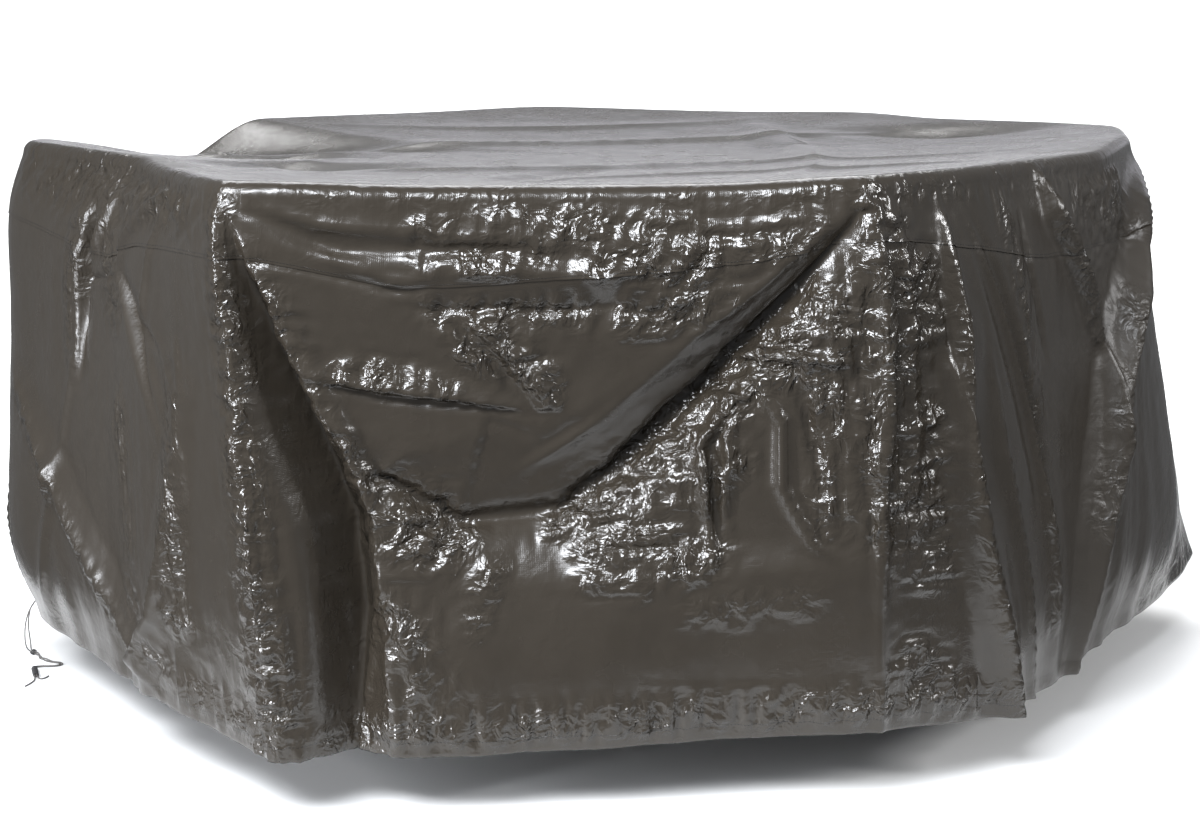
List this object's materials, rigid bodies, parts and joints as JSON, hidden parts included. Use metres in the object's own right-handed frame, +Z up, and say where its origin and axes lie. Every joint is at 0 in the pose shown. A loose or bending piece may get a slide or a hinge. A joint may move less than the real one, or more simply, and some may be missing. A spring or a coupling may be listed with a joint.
{
  "type": "round patio furniture cover",
  "caption": "Round fitted cover of laminated woven sheet for garden furniture, hanging in folds, with a drawcord tied off under its hem.",
  "frame": {"origin": "underside of the top panel at the middle of the cover, where the furniture under it holds it up", "axes": "+Z up, -Y towards the side with the two sharp posts, +X to the right of somebody who faces that side"},
  "size_m": [2.1852, 1.9603, 0.9422],
  "materials": {
    "sheet": "laminated woven polyethylene sheet, half gloss, grey brown",
    "cord": "braided polyester cord, grey",
    "knot": "the same cord wound tight, dark grey"
  },
  "bodies": {
    "root": {"top_panel": "sheet", "skirt": "sheet", "left_strand": "cord", "right_strand": "cord", "upper_knot": "cord", "wound_knot": "knot"}
  },
  "joints": []
}
